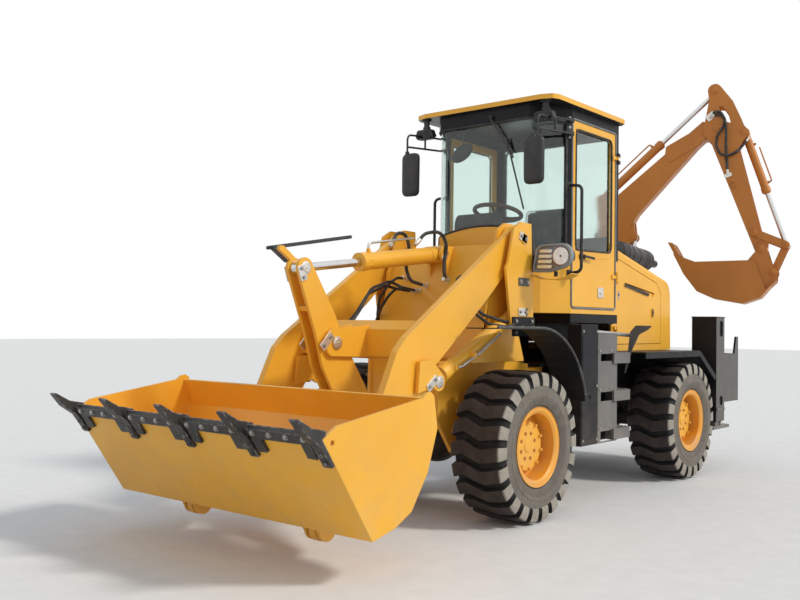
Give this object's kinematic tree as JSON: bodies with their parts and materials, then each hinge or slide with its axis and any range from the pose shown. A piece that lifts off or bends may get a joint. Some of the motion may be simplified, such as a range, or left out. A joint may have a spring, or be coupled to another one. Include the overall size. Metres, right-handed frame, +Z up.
{
  "type": "compact backhoe loader",
  "caption": "Compact articulated wheel loader with cab, toothed front bucket and a side-shift digging arm on the rear frame.",
  "frame": {"origin": "middle of the bounding box in plan, at ground level", "axes": "+X forwards towards the loader bucket, +Y to the machine's left, +Z up"},
  "size_m": [7.2949, 2.2895, 4.0329],
  "materials": {
    "machine_paint": "golden-yellow machine enamel",
    "chassis_paint": "black chassis paint",
    "step_paint": "grey paint",
    "cast": "black painted castings",
    "engine_paint": "grey-green painted castings",
    "chrome_rod": "hard-chromed rod",
    "rubber_tyre": "brown-black rubber",
    "rim_paint": "golden enamel",
    "window": "clear, faintly green",
    "trim_black": "black trim",
    "seat_vinyl": "black vinyl",
    "lamp_black": "black lamp housing",
    "exhaust": "black heat-proof paint",
    "teeth_steel": "black cast steel"
  },
  "bodies": {
    "rear_frame": {"rear_chassis": "chassis_paint", "rear_axle": "chassis_paint", "engine": "engine_paint", "hood": "machine_paint", "muffler": "exhaust", "cab_shell": "machine_paint", "cab_glass": "window", "cab_roof": "machine_paint", "cab_interior": "trim_black", "seat_cushions": "seat_vinyl", "cab_fittings": "trim_black", "steps": "step_paint", "backhoe_frame": "chassis_paint"},
    "front_frame": {"front_chassis": "machine_paint", "front_axle": "chassis_paint", "front_fenders": "chassis_paint", "headlamps": "lamp_black"},
    "wheel_front_left": {"tyre_front_left": "rubber_tyre", "rim_front_left": "rim_paint"},
    "wheel_front_right": {"tyre_front_right": "rubber_tyre", "rim_front_right": "rim_paint"},
    "wheel_rear_left": {"tyre_rear_left": "rubber_tyre", "rim_rear_left": "rim_paint"},
    "wheel_rear_right": {"tyre_rear_right": "rubber_tyre", "rim_rear_right": "rim_paint"},
    "steer_barrel_left": {"steer_barrel_left": "machine_paint"},
    "steer_rod_left": {"steer_rod_left": "chrome_rod"},
    "steer_barrel_right": {"steer_barrel_right": "machine_paint"},
    "steer_rod_right": {"steer_rod_right": "chrome_rod"},
    "door_left": {"door_left": "machine_paint", "door_glass_left": "window"},
    "engine_door_left": {"engine_door_left": "machine_paint"},
    "door_right": {"door_right": "machine_paint", "door_glass_right": "window"},
    "engine_door_right": {"engine_door_right": "machine_paint"},
    "loader_arm": {"loader_arm": "machine_paint"},
    "lift_barrels": {"lift_barrels": "machine_paint"},
    "lift_rods": {"lift_rods": "chrome_rod"},
    "loader_bucket": {"loader_bucket": "machine_paint", "bucket_teeth": "teeth_steel"},
    "bell_crank": {"bell_crank": "machine_paint"},
    "bucket_link": {"bucket_link": "machine_paint"},
    "tilt_barrel": {"tilt_barrel": "machine_paint"},
    "tilt_rod": {"tilt_rod": "chrome_rod"},
    "shift_carriage": {"shift_carriage": "chassis_paint"},
    "swing_post": {"swing_post": "chassis_paint"},
    "boom": {"boom": "machine_paint"},
    "boom_barrel": {"boom_barrel": "machine_paint"},
    "boom_rod": {"boom_rod": "chrome_rod"},
    "stick": {"stick": "machine_paint"},
    "stick_barrel": {"stick_barrel": "machine_paint"},
    "stick_rod": {"stick_rod": "chrome_rod"},
    "dig_bucket": {"dig_bucket": "machine_paint"},
    "rocker_link": {"rocker_link": "machine_paint"},
    "push_link": {"push_link": "machine_paint"},
    "dig_barrel": {"dig_barrel": "machine_paint"},
    "dig_rod": {"dig_rod": "chrome_rod"},
    "stabilizer_left": {"stabilizer_left": "step_paint"},
    "stabilizer_right": {"stabilizer_right": "step_paint"}
  },
  "joints": [
    {"name": "articulation", "type": "hinge", "parent": "rear_frame", "child": "front_frame", "pos_m": [-0.19, 0, 0.78], "axis": [0, 0, 1], "range_deg": [-35, 35]},
    {"name": "wheel_front_left_spin", "type": "hinge", "parent": "front_frame", "child": "wheel_front_left", "pos_m": [1.13, 0.7, 0.53], "axis": [0, 1, 0], "continuous": true},
    {"name": "wheel_front_right_spin", "type": "hinge", "parent": "front_frame", "child": "wheel_front_right", "pos_m": [1.13, -0.7, 0.53], "axis": [0, 1, 0], "continuous": true},
    {"name": "wheel_rear_left_spin", "type": "hinge", "parent": "rear_frame", "child": "wheel_rear_left", "pos_m": [-1.51, 0.7, 0.53], "axis": [0, 1, 0], "continuous": true},
    {"name": "wheel_rear_right_spin", "type": "hinge", "parent": "rear_frame", "child": "wheel_rear_right", "pos_m": [-1.51, -0.7, 0.53], "axis": [0, 1, 0], "continuous": true},
    {"name": "steer_barrel_left_pivot", "type": "hinge", "parent": "rear_frame", "child": "steer_barrel_left", "pos_m": [-0.75, 0.2, 0.78], "axis": [0, 0, 1], "range_deg": [-12.27, 12.27]},
    {"name": "steer_rod_left_slide", "type": "slide", "parent": "steer_barrel_left", "child": "steer_rod_left", "axis": [0.9989, 0.0476, 0], "range_m": [-0.141, 0.141]},
    {"name": "steer_barrel_right_pivot", "type": "hinge", "parent": "rear_frame", "child": "steer_barrel_right", "pos_m": [-0.75, -0.2, 0.78], "axis": [0, 0, 1], "range_deg": [-12.27, 12.27]},
    {"name": "steer_rod_right_slide", "type": "slide", "parent": "steer_barrel_right", "child": "steer_rod_right", "axis": [0.9989, -0.0476, 0], "range_m": [-0.141, 0.141]},
    {"name": "door_left_swing", "type": "hinge", "parent": "rear_frame", "child": "door_left", "pos_m": [-0.525, 0.634, 1.5], "axis": [0, 0, 1], "range_deg": [0, 80]},
    {"name": "engine_door_left_swing", "type": "hinge", "parent": "rear_frame", "child": "engine_door_left", "pos_m": [-0.706, 0.544, 1.47], "axis": [0, 0, -1], "range_deg": [0, 75]},
    {"name": "door_right_swing", "type": "hinge", "parent": "rear_frame", "child": "door_right", "pos_m": [-0.525, -0.634, 1.5], "axis": [0, 0, -1], "range_deg": [0, 80]},
    {"name": "engine_door_right_swing", "type": "hinge", "parent": "rear_frame", "child": "engine_door_right", "pos_m": [-0.706, -0.544, 1.47], "axis": [0, 0, 1], "range_deg": [0, 75]},
    {"name": "arm_lift", "type": "hinge", "parent": "front_frame", "child": "loader_arm", "pos_m": [0.94, 0, 2], "axis": [0, -1, 0], "range_deg": [-3, 66]},
    {"name": "lift_barrel_pivot", "type": "hinge", "parent": "front_frame", "child": "lift_barrels", "pos_m": [0.896, 0, 1.468], "axis": [0, -1, 0], "range_deg": [-4.12, 63.34]},
    {"name": "lift_rod_slide", "type": "slide", "parent": "lift_barrels", "child": "lift_rods", "axis": [0.9063, 0, -0.4227], "range_m": [-0.0387, 0.5957]},
    {"name": "bucket_tilt", "type": "hinge", "parent": "loader_arm", "child": "loader_bucket", "pos_m": [2.92, 0, 0.205], "axis": [0, -1, 0], "range_deg": [-95, 2]},
    {"name": "bell_crank_pivot", "type": "hinge", "parent": "loader_arm", "child": "bell_crank", "pos_m": [2.326, 0, 1.239], "axis": [0, -1, 0], "range_deg": [-2.22, 54.68]},
    {"name": "bucket_link_pivot", "type": "hinge", "parent": "bell_crank", "child": "bucket_link", "pos_m": [1.97, 0, 0.79], "axis": [0, -1, 0], "range_deg": [-35.03, 1.42]},
    {"name": "tilt_barrel_pivot", "type": "hinge", "parent": "front_frame", "child": "tilt_barrel", "pos_m": [1.159, 0, 1.896], "axis": [0, -1, 0], "range_deg": [-4.73, 72.77]},
    {"name": "tilt_rod_slide", "type": "slide", "parent": "tilt_barrel", "child": "tilt_rod", "axis": [0.9919, 0, -0.127], "range_m": [-0.5001, 0.0203]},
    {"name": "side_shift", "type": "slide", "parent": "rear_frame", "child": "shift_carriage", "axis": [0, 1, 0], "range_m": [0, 1.4]},
    {"name": "boom_swing", "type": "hinge", "parent": "shift_carriage", "child": "swing_post", "pos_m": [-2.99, -0.712, 0.87], "axis": [0, 0, 1], "range_deg": [-10, 160]},
    {"name": "boom_lift", "type": "hinge", "parent": "swing_post", "child": "boom", "pos_m": [-3.03659, -0.53813, 1.01], "axis": [0.9659, 0.2588, 0], "range_deg": [-100, 3]},
    {"name": "boom_barrel_pivot", "type": "hinge", "parent": "swing_post", "child": "boom_barrel", "pos_m": [-3.0723, -0.40484, 0.82], "axis": [0.9659, 0.2588, 0], "range_deg": [-100.37, 4.98]},
    {"name": "boom_rod_slide", "type": "slide", "parent": "boom_barrel", "child": "boom_rod", "axis": [0.0046, -0.0172, 0.9998], "range_m": [-0.354, 0.0176]},
    {"name": "stick_swing", "type": "hinge", "parent": "boom", "child": "stick", "pos_m": [-3.29955, 0.44325, 3.547], "axis": [0.9659, 0.2588, 0], "range_deg": [-5, 105]},
    {"name": "stick_barrel_pivot", "type": "hinge", "parent": "boom", "child": "stick_barrel", "pos_m": [-2.96929, -0.78927, 2.833], "axis": [0.9659, 0.2588, 0], "range_deg": [-3.57, 0.24]},
    {"name": "stick_rod_slide", "type": "slide", "parent": "stick_barrel", "child": "stick_rod", "axis": [-0.1918, 0.716, 0.6713], "range_m": [-0.6811, 0.0457]},
    {"name": "dig_bucket_curl", "type": "hinge", "parent": "stick", "child": "dig_bucket", "pos_m": [-3.41627, 0.87888, 2.219], "axis": [0.9659, 0.2588, 0], "range_deg": [-5, 110]},
    {"name": "rocker_pivot", "type": "hinge", "parent": "stick", "child": "rocker_link", "pos_m": [-3.39945, 0.81609, 2.397], "axis": [0.9659, 0.2588, 0], "range_deg": [-5.75, 88.52]},
    {"name": "push_link_pivot", "type": "hinge", "parent": "rocker_link", "child": "push_link", "pos_m": [-3.47917, 1.1136, 2.261], "axis": [0.9659, 0.2588, 0], "range_deg": [-38.74, 2.52]},
    {"name": "dig_barrel_pivot", "type": "hinge", "parent": "stick", "child": "dig_barrel", "pos_m": [-3.3715, 0.71177, 3.495], "axis": [0.9659, 0.2588, 0], "range_deg": [-0.19, 2.88]},
    {"name": "dig_rod_slide", "type": "slide", "parent": "dig_barrel", "child": "dig_rod", "axis": [-0.0827, 0.3086, -0.9476], "range_m": [-0.4708, 0.0306]},
    {"name": "stabilizer_left_drop", "type": "slide", "parent": "rear_frame", "child": "stabilizer_left", "axis": [0, 0, -1], "range_m": [0, 0.4]},
    {"name": "stabilizer_right_drop", "type": "slide", "parent": "rear_frame", "child": "stabilizer_right", "axis": [0, 0, -1], "range_m": [0, 0.4]}
  ],
  "couplings": [
    {"joint": "steer_barrel_left_pivot", "follows": "articulation", "ratio": 0.3372},
    {"joint": "steer_rod_left_slide", "follows": "articulation", "m_per_rad": -0.222},
    {"joint": "steer_barrel_right_pivot", "follows": "articulation", "ratio": 0.3372},
    {"joint": "steer_rod_right_slide", "follows": "articulation", "m_per_rad": 0.222},
    {"joint": "lift_barrel_pivot", "follows": "arm_lift", "ratio": 0.94},
    {"joint": "lift_rod_slide", "follows": "arm_lift", "m_per_rad": 0.5065},
    {"joint": "bell_crank_pivot", "follows": "bucket_tilt", "ratio": -0.5641},
    {"joint": "bucket_link_pivot", "follows": "bucket_tilt", "ratio": 0.3614},
    {"joint": "tilt_barrel_pivot", "follows": "arm_lift", "ratio": 1.08},
    {"joint": "tilt_rod_slide", "follows": "bucket_tilt", "m_per_rad": 0.2956},
    {"joint": "boom_barrel_pivot", "follows": "boom_lift", "ratio": 0.9834},
    {"joint": "boom_rod_slide", "follows": "boom_lift", "m_per_rad": 0.1987},
    {"joint": "stick_barrel_pivot", "follows": "stick_swing", "ratio": -0.0333},
    {"joint": "stick_rod_slide", "follows": "stick_swing", "m_per_rad": -0.364},
    {"joint": "rocker_pivot", "follows": "dig_bucket_curl", "ratio": 0.7882},
    {"joint": "push_link_pivot", "follows": "dig_bucket_curl", "ratio": -0.345},
    {"joint": "dig_barrel_pivot", "follows": "dig_bucket_curl", "ratio": 0.0256},
    {"joint": "dig_rod_slide", "follows": "dig_bucket_curl", "m_per_rad": -0.2402}
  ]
}
